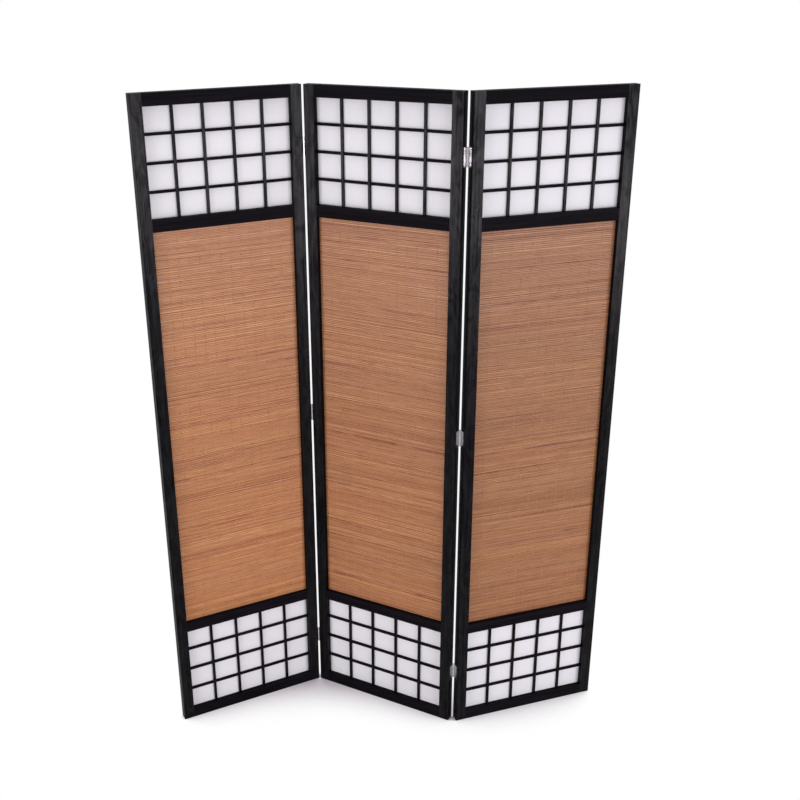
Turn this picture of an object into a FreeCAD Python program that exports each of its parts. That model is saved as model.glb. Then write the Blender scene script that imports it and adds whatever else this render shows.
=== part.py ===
import FreeCAD, Part
import math
import os
import Sketcher

# A folding screen of three joinery panels, standing in a zigzag on its own edges.
#
# Millimetres, +Z up. The origin is on the floor, under the middle of the screen's plan.
# Each panel has a frame of its own: X runs along its width from its left edge, Y runs
# from its front face to its back face, and Z runs up from its feet.

VECTOR = FreeCAD.Vector
OUTPUT_FOLDER = "parts"
SHEET_NAME = "Dimensions"

# (alias, value, what it measures)
DIMENSIONS = [
    ("panel_height", 1790, "floor to the top of a panel"),
    ("panel_width", 440, "outer edge to outer edge of one panel"),
    ("panel_thickness", 25, "front face to back face"),
    ("stile_width", 30, "face width of a stile"),
    ("top_rail_height", 31, "face height of the top rail"),
    ("upper_rail_height", 31, "face height of the rail above the mat"),
    ("lower_rail_height", 29, "face height of the rail below the mat"),
    ("bottom_rail_height", 29, "face height of the bottom rail"),
    ("lattice_height", 269, "clear height of either lattice opening"),
    ("arris_radius", 1, "easing of the outer long edges of a stile"),
    ("bar_width", 7, "face width of a lattice bar"),
    ("bar_depth", 6, "front to back depth of a lattice bar"),
    ("bar_setback", 9.5, "front face of the frame to the front of the bars"),
    ("bar_tenon", 4, "length of a bar end let into the frame"),
    ("socket_depth", 4.5, "depth of the socket for a bar end"),
    ("fit_clearance", 0.1, "play on each side of a bar end, halving or dowel"),
    ("halving_depth", 3.05, "depth of each half of a crossing"),
    ("paper_thickness", 0.4, "laminated paper"),
    ("paper_overlap", 5, "paper glued on the shoulder of its rebate"),
    ("rebate_width", 6, "width of the rebate behind a lattice opening"),
    ("mat_front", 13, "front face of the frame to the front of the mat"),
    ("mat_thickness", 2.5, "thickness of the bamboo mat"),
    ("mat_overlap", 4.5, "edge of the mat held in its groove"),
    ("groove_depth", 5, "depth of the groove for the mat"),
    ("groove_play", 0.05, "play on each face of the mat in its groove"),
    ("splint_pitch", 4.4, "height of one bamboo splint"),
    ("splint_crown", 0.45, "rise of a splint's rounded face"),
    ("dowel_radius", 3, "radius of a frame dowel"),
    ("dowel_length", 34, "length of a frame dowel"),
    ("dowel_spacing", 12, "distance between the two dowels of a rail end"),
    ("dowel_end_room", 1, "room past each end of a dowel"),
    ("hinge_height", 48, "height of a butt hinge"),
    ("leaf_width", 20, "pin axis to the far edge of a leaf"),
    ("leaf_thickness", 1, "thickness of a leaf"),
    ("knuckle_radius", 1.8, "outer radius of the rolled knuckles"),
    ("knuckle_gap", 0.3, "gap between one knuckle and the next"),
    ("pin_radius", 0.9, "radius of a hinge pin"),
    ("pin_clearance", 0.1, "play between a pin and its knuckles"),
    ("pin_head_radius", 1.35, "radius of a pin's tapered head"),
    ("pin_head_height", 0.7, "height of a pin's head above the knuckles"),
    ("pin_offset", 1, "face of the frame to the pin axis, outside it"),
    ("screw_spacing", 32, "distance between the two screws of a leaf"),
    ("screw_inset", 11, "pin axis to the screws"),
    ("screw_head_radius", 2.9, "radius of a countersunk head"),
    ("screw_head_depth", 1.7, "depth of the countersunk cone"),
    ("screw_dome_height", 0.5, "rise of the raised head over the leaf"),
    ("screw_shank_radius", 1.4, "radius of a screw's shank"),
    ("screw_length", 14, "leaf face to the end of a screw"),
    ("screw_tip_length", 3, "length of a screw's tapered tip"),
    ("screw_tip_radius", 0.35, "radius at the end of the tip"),
    ("screw_slot_length", 3, "length of one arm of the cross recess"),
    ("screw_slot_width", 0.6, "width of one arm of the cross recess"),
    ("screw_slot_depth", 0.9, "depth of the cross recess"),
    ("lower_hinge_centre", 163, "floor to the middle of a lower hinge"),
    ("middle_hinge_centre", 904, "floor to the middle of a middle hinge"),
    ("upper_hinge_centre", 1637, "floor to the middle of an upper hinge"),
    ("left_panel_angle", 27, "left panel's turn about Z, in degrees"),
    ("centre_panel_angle", -29, "centre panel's turn about Z, in degrees"),
    ("right_panel_angle", 18.5, "right panel's turn about Z, in degrees"),
]

COLUMNS = 5
ROWS = 4
KNUCKLES = 5
PANELS = ("left", "centre", "right")
SIDES = ("left", "right")
HINGE_LEVELS = ("lower", "middle", "upper")
# The pins of the left joint stand in front of the panels, and those of the right joint behind.
PIN_SIDE = {"left": "front", "right": "back"}
# Which edge of which panel each joint's two leaves are screwed to.
JOINT_EDGES = {
    "left": {"left": ("left", "right"), "right": ("centre", "left")},
    "right": {"left": ("centre", "right"), "right": ("right", "left")},
}
# The leaf with the two end knuckles and the middle one is the one on the centre panel.
PIN_PANEL = "centre"
# Slack that lets a cutting tool pass right through the face that it enters or leaves.
PASS = 1.0

doc = FreeCAD.newDocument("FoldingScreen")
subparts = []


# ---------------------------------------------------------------- driving dimensions

def make_sheet():
    sheet = doc.addObject("Spreadsheet::Sheet", SHEET_NAME)
    for row, (alias, value, meaning) in enumerate(DIMENSIONS, start=1):
        sheet.set(f"A{row}", alias)
        sheet.set(f"B{row}", str(value))
        sheet.set(f"C{row}", meaning)
        sheet.setAlias(f"B{row}", alias)
    doc.recompute()
    return sheet


sheet = make_sheet()


def size(alias):
    """The number in a cell of the sheet."""
    return float(sheet.get(alias))


def cell(alias):
    """The same cell, as it is written in an expression."""
    return f"{SHEET_NAME}.{alias}"


# Levels and lengths that follow from the driving dimensions, as expressions.
RAIL_LENGTH = f"({cell('panel_width')} - 2 * {cell('stile_width')})"
BOTTOM_RAIL_TOP = cell("bottom_rail_height")
LOWER_RAIL_BASE = f"({BOTTOM_RAIL_TOP} + {cell('lattice_height')})"
LOWER_RAIL_TOP = f"({LOWER_RAIL_BASE} + {cell('lower_rail_height')})"
TOP_RAIL_BASE = f"({cell('panel_height')} - {cell('top_rail_height')})"
UPPER_RAIL_TOP = f"({TOP_RAIL_BASE} - {cell('lattice_height')})"
UPPER_RAIL_BASE = f"({UPPER_RAIL_TOP} - {cell('upper_rail_height')})"
BAR_BACK = f"({cell('bar_setback')} + {cell('bar_depth')})"
REBATE_DEPTH = f"({cell('panel_thickness')} - {BAR_BACK})"
PANE_WIDTH = f"(({RAIL_LENGTH} - {COLUMNS - 1} * {cell('bar_width')}) / {COLUMNS})"
PANE_HEIGHT = f"(({cell('lattice_height')} - {ROWS - 1} * {cell('bar_width')}) / {ROWS})"
# Name of each rail: its lower face and its height.
RAILS = {
    "top": (TOP_RAIL_BASE, cell("top_rail_height")),
    "upper": (UPPER_RAIL_BASE, cell("upper_rail_height")),
    "lower": (LOWER_RAIL_BASE, cell("lower_rail_height")),
    "bottom": ("0", cell("bottom_rail_height")),
}
# Base of each lattice opening.
LATTICES = {"upper": UPPER_RAIL_TOP, "lower": BOTTOM_RAIL_TOP}
# Each side of a rail that a lattice or the mat meets: +1 is its top face, -1 its bottom face.
LATTICE_FACES = {"top": -1, "upper": 1, "lower": -1, "bottom": 1}
MAT_FACES = {"upper": -1, "lower": 1}


def upright_left(index):
    """Left face of a lattice upright, counted from 0."""
    return f"({cell('stile_width')} + {index + 1} * {PANE_WIDTH} + {index} * {cell('bar_width')})"


def crossbar_base(lattice, index):
    """Lower face of a lattice crossbar, counted from 0."""
    return f"({LATTICES[lattice]} + {index + 1} * {PANE_HEIGHT} + {index} * {cell('bar_width')})"


# ---------------------------------------------------------------- plan of the zigzag

def along(angle):
    """Unit vector along a panel's width."""
    return VECTOR(math.cos(math.radians(angle)), math.sin(math.radians(angle)), 0)


def through(angle):
    """Unit vector from a panel's front face to its back."""
    return VECTOR(-math.sin(math.radians(angle)), math.cos(math.radians(angle)), 0)


def edge_of(joint, panel):
    """The edge of a panel that a joint's leaves are screwed to."""
    return dict(JOINT_EDGES[joint].values())[panel]


def pin_in_panel(joint, edge):
    """Pin axis of a joint, in the frame of the panel that holds it by its left or right edge."""
    if edge == "left":
        across = -size("knuckle_radius")
    else:
        across = size("panel_width") + size("knuckle_radius")
    if PIN_SIDE[joint] == "front":
        depth = -size("pin_offset")
    else:
        depth = size("panel_thickness") + size("pin_offset")
    return VECTOR(across, depth, 0)


def plan_layout():
    """Corner of each panel on the floor, so that both joints' pins line up."""
    angles = {panel: size(f"{panel}_panel_angle") for panel in PANELS}

    def turned(panel, point):
        return along(angles[panel]) * point.x + through(angles[panel]) * point.y

    corners = {"centre": VECTOR(0, 0, 0)}
    # A joint has the name of the outer panel that hangs on it.
    for outer in JOINT_EDGES:
        pin = turned("centre", pin_in_panel(outer, edge_of(outer, "centre")))
        corners[outer] = pin - turned(outer, pin_in_panel(outer, edge_of(outer, outer)))
    outline = []
    for panel in PANELS:
        for across in (0, size("panel_width")):
            for depth in (0, size("panel_thickness")):
                outline.append(corners[panel] + turned(panel, VECTOR(across, depth, 0)))
    middle_x = (min(p.x for p in outline) + max(p.x for p in outline)) / 2
    middle_y = (min(p.y for p in outline) + max(p.y for p in outline)) / 2
    middle = VECTOR(middle_x, middle_y, 0)
    return {
        panel: FreeCAD.Placement(
            corners[panel] - middle,
            FreeCAD.Rotation(VECTOR(0, 0, 1), angles[panel]),
        )
        for panel in PANELS
    }


PANEL_PLACEMENT = plan_layout()


# ---------------------------------------------------------------- modelling helpers

def new_body(name):
    body = doc.addObject("PartDesign::Body", name)
    body.Label = name
    return body


def origin_plane(body, role):
    return next(item for item in body.Origin.OriginFeatures if item.Role == role)


def new_sketch(body, name, role, offset):
    """Sketch on one of the body's origin planes, moved along the plane's normal."""
    sketch = body.newObject("Sketcher::SketchObject", name)
    sketch.AttachmentSupport = [(origin_plane(body, role), "")]
    sketch.MapMode = "FlatFace"
    sketch.setExpression("AttachmentOffset.Base.z", str(offset))
    return sketch


def bind(sketch, constraint, formula):
    """Adds a dimension whose value is a formula over the sheet."""
    index = sketch.addConstraint(constraint)
    label = f"d{index}"
    sketch.renameConstraint(index, label)
    sketch.setExpression(f"Constraints.{label}", formula)


def bind_offset(sketch, kind, geometry, point, formula):
    """Distance of a point from the sketch's origin along X or Y; a plain 0 puts it on the axis."""
    if formula == "0":
        axis = -2 if kind == "DistanceX" else -1
        sketch.addConstraint(Sketcher.Constraint("PointOnObject", geometry, point, axis))
        return
    bind(sketch, Sketcher.Constraint(kind, -1, 1, geometry, point, 1.0), formula)


def add_rectangle(sketch, left, base, width, height):
    """Rectangle whose corner and sides are formulas over the sheet."""
    corners = [VECTOR(1, 1, 0), VECTOR(2, 1, 0), VECTOR(2, 2, 0), VECTOR(1, 2, 0)]
    first = sketch.GeometryCount
    for start, end in zip(corners, corners[1:] + corners[:1]):
        sketch.addGeometry(Part.LineSegment(start, end), False)
    bottom, right, top, left_line = range(first, first + 4)
    for one, other in ((bottom, right), (right, top), (top, left_line), (left_line, bottom)):
        sketch.addConstraint(Sketcher.Constraint("Coincident", one, 2, other, 1))
    for line in (bottom, top):
        sketch.addConstraint(Sketcher.Constraint("Horizontal", line))
    for line in (right, left_line):
        sketch.addConstraint(Sketcher.Constraint("Vertical", line))
    bind(sketch, Sketcher.Constraint("DistanceX", bottom, 1, bottom, 2, 1.0), width)
    bind(sketch, Sketcher.Constraint("DistanceY", right, 1, right, 2, 1.0), height)
    bind_offset(sketch, "DistanceX", bottom, 1, left)
    bind_offset(sketch, "DistanceY", bottom, 1, base)


def add_circle(sketch, across, up, radius):
    """Circle whose centre and radius are formulas over the sheet."""
    circle = sketch.addGeometry(Part.Circle(VECTOR(1, 1, 0), VECTOR(0, 0, 1), 1.0), False)
    bind(sketch, Sketcher.Constraint("Radius", circle, 1.0), radius)
    bind_offset(sketch, "DistanceX", circle, 3, across)
    bind_offset(sketch, "DistanceY", circle, 3, up)


def pad(body, sketch, length):
    feature = body.newObject("PartDesign::Pad", "Pad")
    feature.Profile = sketch
    feature.setExpression("Length", length)
    sketch.Visibility = False
    doc.recompute()
    return feature


def pocket(body, sketch, depth, with_normal):
    """Cuts along the sketch's normal or against it, and makes sure that wood came away."""
    before = body.Shape.Volume
    feature = body.newObject("PartDesign::Pocket", "Pocket")
    feature.Profile = sketch
    feature.Reversed = with_normal
    feature.setExpression("Length", depth)
    sketch.Visibility = False
    doc.recompute()
    if not body.Shape.Volume < before:
        raise RuntimeError(f"{body.Label}: {sketch.Label} cuts nothing")
    return feature


def finish(obj, name, panel):
    """Names a sub-part, stands it in its panel's place and lists it for export."""
    obj.Label = name
    obj.Placement = PANEL_PLACEMENT[panel]
    subparts.append(obj)


def new_box(name, base, lengths):
    """Part box whose corner and sides are formulas over the sheet."""
    box = doc.addObject("Part::Box", name)
    for axis, formula in zip("xyz", base):
        box.setExpression(f"Placement.Base.{axis}", formula)
    for side, formula in zip(("Length", "Width", "Height"), lengths):
        box.setExpression(side, formula)
    return box


def new_cylinder(name, base, radius, height):
    """Upright Part cylinder whose foot and sizes are formulas over the sheet."""
    cylinder = doc.addObject("Part::Cylinder", name)
    for axis, formula in zip("xyz", base):
        cylinder.setExpression(f"Placement.Base.{axis}", formula)
    cylinder.setExpression("Radius", radius)
    cylinder.setExpression("Height", height)
    return cylinder


def new_cone(name, base, radii_and_height):
    """Part cone whose foot, radii and height are formulas over the sheet."""
    cone = doc.addObject("Part::Cone", name)
    for axis, formula in zip("xyz", base):
        cone.setExpression(f"Placement.Base.{axis}", formula)
    for side, formula in zip(("Radius1", "Radius2", "Height"), radii_and_height):
        cone.setExpression(side, formula)
    return cone


def fused(name, pieces):
    result = doc.addObject("Part::MultiFuse", name)
    result.Shapes = pieces
    return result


def cut(name, base, tool):
    result = doc.addObject("Part::Cut", name)
    result.Base = base
    result.Tool = tool
    return result


# ---------------------------------------------------------------- frame of a panel

def stile_joint(panel, side):
    """The joint whose hinges are screwed to this stile, or None at the screen's two ends."""
    for joint, edges in JOINT_EDGES.items():
        if (panel, side) in edges.values():
            return joint
    return None


def add_dowel_circles(sketch, radius, rails):
    """Circles of the dowels in a plane across the rails' ends."""
    depth = f"({cell('panel_thickness')} / 2)"
    for rail in rails:
        base, height = RAILS[rail]
        for sign in (-1, 1):
            level = f"({base} + {height} / 2 + {sign} * {cell('dowel_spacing')} / 2)"
            add_circle(sketch, depth, level, radius)


def dowel_hole_depth():
    return f"({cell('dowel_length')} / 2 + {cell('dowel_end_room')})"


def make_stile(panel, side):
    """Stile with eased outer edges, dowel holes, bar sockets, mat groove and paper rebates."""
    name = f"{panel}_panel_{side}_stile"
    body = new_body(name)
    # The right stile's cuts go along +X from its inner face, the left stile's along -X.
    with_normal = side == "right"
    left = "0" if side == "left" else f"({cell('panel_width')} - {cell('stile_width')})"
    inner = cell("stile_width") if side == "left" else left

    section = new_sketch(body, f"{name}_section", "XY_Plane", "0")
    add_rectangle(section, left, "0", cell("stile_width"), cell("panel_thickness"))
    blank = pad(body, section, cell("panel_height"))

    outer = 0 if side == "left" else size("panel_width")
    edges = []
    for index, edge in enumerate(blank.Shape.Edges, start=1):
        upright = edge.BoundBox.ZLength > size("stile_width")
        if upright and abs(edge.CenterOfMass.x - outer) < size("arris_radius"):
            edges.append(f"Edge{index}")
    easing = body.newObject("PartDesign::Fillet", "Easing")
    easing.Base = (blank, edges)
    easing.setExpression("Radius", cell("arris_radius"))
    doc.recompute()

    holes = new_sketch(body, f"{name}_dowel_holes", "YZ_Plane", inner)
    add_dowel_circles(holes, f"({cell('dowel_radius')} + {cell('fit_clearance')})", RAILS)
    pocket(body, holes, dowel_hole_depth(), with_normal)

    sockets = new_sketch(body, f"{name}_bar_sockets", "YZ_Plane", inner)
    for lattice in LATTICES:
        for index in range(ROWS - 1):
            add_rectangle(
                sockets,
                f"({cell('bar_setback')} - {cell('fit_clearance')})",
                f"({crossbar_base(lattice, index)} - {cell('fit_clearance')})",
                f"({cell('bar_depth')} + {cell('fit_clearance')})",
                f"({cell('bar_width')} + 2 * {cell('fit_clearance')})",
            )
    pocket(body, sockets, cell("socket_depth"), with_normal)

    groove = new_sketch(body, f"{name}_mat_groove", "YZ_Plane", inner)
    add_rectangle(
        groove,
        f"({cell('mat_front')} - {cell('groove_play')})",
        f"({LOWER_RAIL_TOP} - {cell('groove_depth')})",
        f"({cell('mat_thickness')} + 2 * {cell('groove_play')})",
        f"({UPPER_RAIL_BASE} - {LOWER_RAIL_TOP} + 2 * {cell('groove_depth')})",
    )
    pocket(body, groove, cell("groove_depth"), with_normal)

    rebates = new_sketch(body, f"{name}_paper_rebates", "YZ_Plane", inner)
    for base in LATTICES.values():
        add_rectangle(
            rebates,
            BAR_BACK,
            f"({base} - {cell('rebate_width')})",
            REBATE_DEPTH,
            f"({cell('lattice_height')} + 2 * {cell('rebate_width')})",
        )
    pocket(body, rebates, cell("rebate_width"), with_normal)

    joint = stile_joint(panel, side)
    if joint:
        make_pilot_holes(body, joint, side)
    finish(body, name, panel)


def make_pilot_holes(body, joint, side):
    """Screw holes in the outer edge of a stile, each with the seat of its head."""
    pin = pin_in_panel(joint, side)
    inward = 1 if PIN_SIDE[joint] == "front" else -1
    depth = f"({pin.y:g} + {inward} * {cell('screw_inset')})"
    outer = "0" if side == "left" else cell("panel_width")
    with_normal = side == "left"
    holes = new_sketch(body, f"{body.Label}_pilot_holes", "YZ_Plane", outer)
    seats = new_sketch(body, f"{body.Label}_screw_seats", "YZ_Plane", outer)
    shank = f"({cell('screw_shank_radius')} + {cell('fit_clearance')})"
    for level in HINGE_LEVELS:
        for sign in (-1, 1):
            add_circle(holes, depth, screw_level(level, sign), shank)
            add_circle(seats, depth, screw_level(level, sign), seat_radius())
    pocket(body, holes, cell("screw_length"), with_normal)
    pocket(body, seats, f"({cell('screw_head_depth')} - {cell('leaf_thickness')})", with_normal)


def screw_level(level, sign):
    """Height of a hinge's lower or upper pair of screws."""
    return f"({cell(level + '_hinge_centre')} + {sign} * {cell('screw_spacing')} / 2)"


def seat_radius():
    """Radius of the head's cone where it leaves the leaf, with its play."""
    spread = f"({cell('screw_head_radius')} - {cell('screw_shank_radius')})"
    past_leaf = f"({cell('screw_head_depth')} - {cell('leaf_thickness')})"
    cone = f"{spread} * {past_leaf} / {cell('screw_head_depth')}"
    return f"({cell('screw_shank_radius')} + {cone} + {cell('fit_clearance')})"


def make_rail(panel, rail):
    """Rail with dowel holes in its ends, and sockets, rebate or groove where a filling meets it."""
    name = f"{panel}_panel_{rail}_rail"
    body = new_body(name)
    base, height = RAILS[rail]
    section = new_sketch(body, f"{name}_section", "YZ_Plane", cell("stile_width"))
    add_rectangle(section, "0", base, cell("panel_thickness"), height)
    pad(body, section, RAIL_LENGTH)

    right_end = f"({cell('panel_width')} - {cell('stile_width')})"
    for end, position, with_normal in (
        ("left", cell("stile_width"), True),
        ("right", right_end, False),
    ):
        holes = new_sketch(body, f"{name}_{end}_dowel_holes", "YZ_Plane", position)
        add_dowel_circles(holes, f"({cell('dowel_radius')} + {cell('fit_clearance')})", [rail])
        pocket(body, holes, dowel_hole_depth(), with_normal)

    # A cut from the top face goes down against the plane's normal, one from below goes up.
    face = LATTICE_FACES[rail]
    level = f"({base} + {height})" if face > 0 else base
    sockets = new_sketch(body, f"{name}_bar_sockets", "XY_Plane", level)
    for index in range(COLUMNS - 1):
        add_rectangle(
            sockets,
            f"({upright_left(index)} - {cell('fit_clearance')})",
            f"({cell('bar_setback')} - {cell('fit_clearance')})",
            f"({cell('bar_width')} + 2 * {cell('fit_clearance')})",
            f"({cell('bar_depth')} + {cell('fit_clearance')})",
        )
    pocket(body, sockets, cell("socket_depth"), face < 0)

    rebate = new_sketch(body, f"{name}_paper_rebate", "XY_Plane", level)
    add_rectangle(rebate, cell("stile_width"), BAR_BACK, RAIL_LENGTH, REBATE_DEPTH)
    pocket(body, rebate, cell("rebate_width"), face < 0)

    if rail in MAT_FACES:
        face = MAT_FACES[rail]
        level = f"({base} + {height})" if face > 0 else base
        groove = new_sketch(body, f"{name}_mat_groove", "XY_Plane", level)
        add_rectangle(
            groove,
            cell("stile_width"),
            f"({cell('mat_front')} - {cell('groove_play')})",
            RAIL_LENGTH,
            f"({cell('mat_thickness')} + 2 * {cell('groove_play')})",
        )
        pocket(body, groove, cell("groove_depth"), face < 0)
    finish(body, name, panel)


def make_dowels(panel):
    """Two dowels across each of a panel's eight joints between a rail and a stile."""
    name = f"{panel}_panel_dowels"
    body = new_body(name)
    right_joint = f"({cell('panel_width')} - {cell('stile_width')})"
    for joint, position in (("left", cell("stile_width")), ("right", right_joint)):
        start = f"({position} - {cell('dowel_length')} / 2)"
        circles = new_sketch(body, f"{name}_{joint}_circles", "YZ_Plane", start)
        add_dowel_circles(circles, cell("dowel_radius"), RAILS)
        pad(body, circles, cell("dowel_length"))
    finish(body, name, panel)


# ---------------------------------------------------------------- fillings of a panel

def make_uprights(panel, lattice):
    """Four upright bars, halved at the back for the crossbars."""
    name = f"{panel}_panel_{lattice}_lattice_uprights"
    body = new_body(name)
    foot = f"({LATTICES[lattice]} - {cell('bar_tenon')})"
    sections = new_sketch(body, f"{name}_sections", "XY_Plane", foot)
    for index in range(COLUMNS - 1):
        corner = (upright_left(index), cell("bar_setback"))
        add_rectangle(sections, *corner, cell("bar_width"), cell("bar_depth"))
    pad(body, sections, f"({cell('lattice_height')} + 2 * {cell('bar_tenon')})")

    # The notches run across all four bars at once, from one side of the opening to the other.
    notches = new_sketch(body, f"{name}_halvings", "YZ_Plane", cell("stile_width"))
    for index in range(ROWS - 1):
        add_rectangle(
            notches,
            f"({BAR_BACK} - {cell('halving_depth')})",
            f"({crossbar_base(lattice, index)} - {cell('fit_clearance')})",
            f"({cell('halving_depth')} + {PASS})",
            f"({cell('bar_width')} + 2 * {cell('fit_clearance')})",
        )
    pocket(body, notches, RAIL_LENGTH, True)
    finish(body, name, panel)


def make_crossbars(panel, lattice):
    """Three level bars, halved at the front for the uprights."""
    name = f"{panel}_panel_{lattice}_lattice_crossbars"
    body = new_body(name)
    start = f"({cell('stile_width')} - {cell('bar_tenon')})"
    sections = new_sketch(body, f"{name}_sections", "YZ_Plane", start)
    for index in range(ROWS - 1):
        corner = (cell("bar_setback"), crossbar_base(lattice, index))
        add_rectangle(sections, *corner, cell("bar_depth"), cell("bar_width"))
    pad(body, sections, f"({RAIL_LENGTH} + 2 * {cell('bar_tenon')})")

    notches = new_sketch(body, f"{name}_halvings", "XY_Plane", LATTICES[lattice])
    for index in range(COLUMNS - 1):
        add_rectangle(
            notches,
            f"({upright_left(index)} - {cell('fit_clearance')})",
            f"({cell('bar_setback')} - {PASS})",
            f"({cell('bar_width')} + 2 * {cell('fit_clearance')})",
            f"({cell('halving_depth')} + {PASS})",
        )
    pocket(body, notches, cell("lattice_height"), True)
    finish(body, name, panel)


def make_paper(panel, lattice):
    """Sheet of paper glued to the backs of the bars and to the shoulder of the rebate."""
    name = f"{panel}_panel_{lattice}_paper"
    body = new_body(name)
    foot = f"({LATTICES[lattice]} - {cell('paper_overlap')})"
    outline = new_sketch(body, f"{name}_outline", "XY_Plane", foot)
    add_rectangle(
        outline,
        f"({cell('stile_width')} - {cell('paper_overlap')})",
        BAR_BACK,
        f"({RAIL_LENGTH} + 2 * {cell('paper_overlap')})",
        cell("paper_thickness"),
    )
    pad(body, outline, f"({cell('lattice_height')} + 2 * {cell('paper_overlap')})")
    finish(body, name, panel)


def splint_arcs(levels, valley, crest):
    """Rounded faces of a row of splints, from each level to the next one."""
    arcs = []
    for start, end in zip(levels, levels[1:]):
        middle = VECTOR(0, crest, (start + end) / 2)
        arc = Part.Arc(VECTOR(0, valley, start), middle, VECTOR(0, valley, end))
        arcs.append(arc.toShape())
    return arcs


def mat_section(base, height):
    """Closed section of the mat in its YZ plane: rounded splints, one over the other."""
    front = size("mat_front")
    back = front + size("mat_thickness")
    front_valley = front + size("splint_crown")
    back_valley = back - size("splint_crown")
    splints = round(height / size("splint_pitch"))
    levels = [base + height * index / splints for index in range(splints + 1)]
    top = Part.makeLine(VECTOR(0, front_valley, levels[-1]), VECTOR(0, back_valley, levels[-1]))
    bottom = Part.makeLine(VECTOR(0, back_valley, levels[0]), VECTOR(0, front_valley, levels[0]))
    up = splint_arcs(levels, front_valley, front)
    down = splint_arcs(levels[::-1], back_valley, back)
    return Part.Face(Part.Wire(up + [top] + down + [bottom]))


def make_mat(panel):
    """Bamboo mat of level splints, its edges held in the groove round its opening."""
    name = f"{panel}_panel_bamboo_mat"
    overlap = size("mat_overlap")
    below = size("bottom_rail_height") + size("lattice_height") + size("lower_rail_height")
    above = size("top_rail_height") + size("lattice_height") + size("upper_rail_height")
    opening_height = size("panel_height") - below - above
    opening_width = size("panel_width") - 2 * size("stile_width")
    section = mat_section(below - overlap, opening_height + 2 * overlap)
    section.translate(VECTOR(size("stile_width") - overlap, 0, 0))
    mat = doc.addObject("Part::Feature", name)
    mat.Shape = section.extrude(VECTOR(opening_width + 2 * overlap, 0, 0))
    finish(mat, name, panel)


# ---------------------------------------------------------------- hinges

def edge_signs(joint, side):
    """Sign of X from the pin into the wood, and of Y from the pin into the wood."""
    panel, edge = JOINT_EDGES[joint][side]
    into_x = 1 if edge == "left" else -1
    into_y = 1 if PIN_SIDE[joint] == "front" else -1
    return panel, edge, into_x, into_y


def span(origin, sign, start, end):
    """Lower end of a length measured from an origin in the sense of a sign."""
    if sign > 0:
        return f"({origin:g} + {start})"
    return f"({origin:g} - {end})"


def knuckle_base(level, index):
    """Level at which a hinge's knuckle begins, counted from 0 at the bottom."""
    return (
        f"({cell(level + '_hinge_centre')} - {cell('hinge_height')} / 2"
        f" + {index} * {cell('hinge_height')} / {KNUCKLES})"
    )


def make_leaf(joint, level, side):
    """Leaf plate on a stile's edge with its rolled knuckles, pin bore and countersunk holes."""
    panel, edge, into_x, into_y = edge_signs(joint, side)
    name = f"{level}_{joint}_hinge_{side}_leaf"
    pin = pin_in_panel(joint, edge)
    foot = knuckle_base(level, 0)
    radius = cell("knuckle_radius")
    thickness = cell("leaf_thickness")

    plate = new_box(
        f"{name}_plate",
        (
            span(pin.x, into_x, f"({radius} - {thickness})", radius),
            span(pin.y, into_y, "0", cell("leaf_width")),
            foot,
        ),
        (thickness, cell("leaf_width"), cell("hinge_height")),
    )
    axis = (f"{pin.x:g}", f"{pin.y:g}")
    barrel = new_cylinder(f"{name}_barrel", (*axis, foot), radius, cell("hinge_height"))
    bore = new_cylinder(
        f"{name}_bore",
        (*axis, f"({foot} - {PASS})"),
        f"({cell('pin_radius')} + {cell('pin_clearance')})",
        f"({cell('hinge_height')} + 2 * {PASS})",
    )
    tools = [bore]

    # The other leaf's knuckles take every second place along the pin.
    first_missing = 1 if panel == PIN_PANEL else 0
    reach = f"({radius} + {cell('knuckle_gap')})"
    for index in range(first_missing, KNUCKLES, 2):
        low = f"({knuckle_base(level, index)} - {cell('knuckle_gap')} / 2)"
        tall = f"({cell('hinge_height')} / {KNUCKLES} + {cell('knuckle_gap')})"
        base = (f"({pin.x:g} - {reach})", f"({pin.y:g} - {reach})", low)
        tools.append(new_box(f"{name}_space_{index}", base, (f"2 * {reach}", f"2 * {reach}", tall)))

    face = f"({pin.x:g} + {into_x} * ({radius} - {thickness}))"
    depth = f"({pin.y:g} + {into_y} * {cell('screw_inset')})"
    for index, sign in enumerate((-1, 1)):
        countersink = new_cone(
            f"{name}_countersink_{index}",
            (face, depth, screw_level(level, sign)),
            (
                f"{cell('screw_head_radius')} + {cell('fit_clearance')}",
                f"{cell('screw_shank_radius')} + {cell('fit_clearance')}",
                cell("screw_head_depth"),
            ),
        )
        countersink.Placement.Rotation = FreeCAD.Rotation(VECTOR(0, 0, 1), VECTOR(into_x, 0, 0))
        tools.append(countersink)

    blank = fused(f"{name}_blank", [plate, barrel])
    cutters = fused(f"{name}_cutters", tools)
    finish(cut(name, blank, cutters), name, panel)


def make_pins(joint):
    """The three pins of a joint, each with a tapered head at both ends."""
    name = f"{joint}_hinge_pins"
    pin = pin_in_panel(joint, edge_of(joint, PIN_PANEL))
    axis = (f"{pin.x:g}", f"{pin.y:g}")
    height = cell("hinge_height")
    pins = []
    for level in HINGE_LEVELS:
        foot = knuckle_base(level, 0)
        shank = new_cylinder(f"{level}_{name}_shank", (*axis, foot), cell("pin_radius"), height)
        low_head = new_cone(
            f"{level}_{name}_low_head",
            (*axis, f"({foot} - {cell('pin_head_height')})"),
            (cell("pin_radius"), cell("pin_head_radius"), cell("pin_head_height")),
        )
        high_head = new_cone(
            f"{level}_{name}_high_head",
            (*axis, f"({foot} + {height})"),
            (cell("pin_head_radius"), cell("pin_radius"), cell("pin_head_height")),
        )
        pins.append(fused(f"{level}_{name}_pin", [shank, low_head, high_head]))
    group = doc.addObject("Part::Compound", name)
    group.Links = pins
    finish(group, name, PIN_PANEL)


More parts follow.
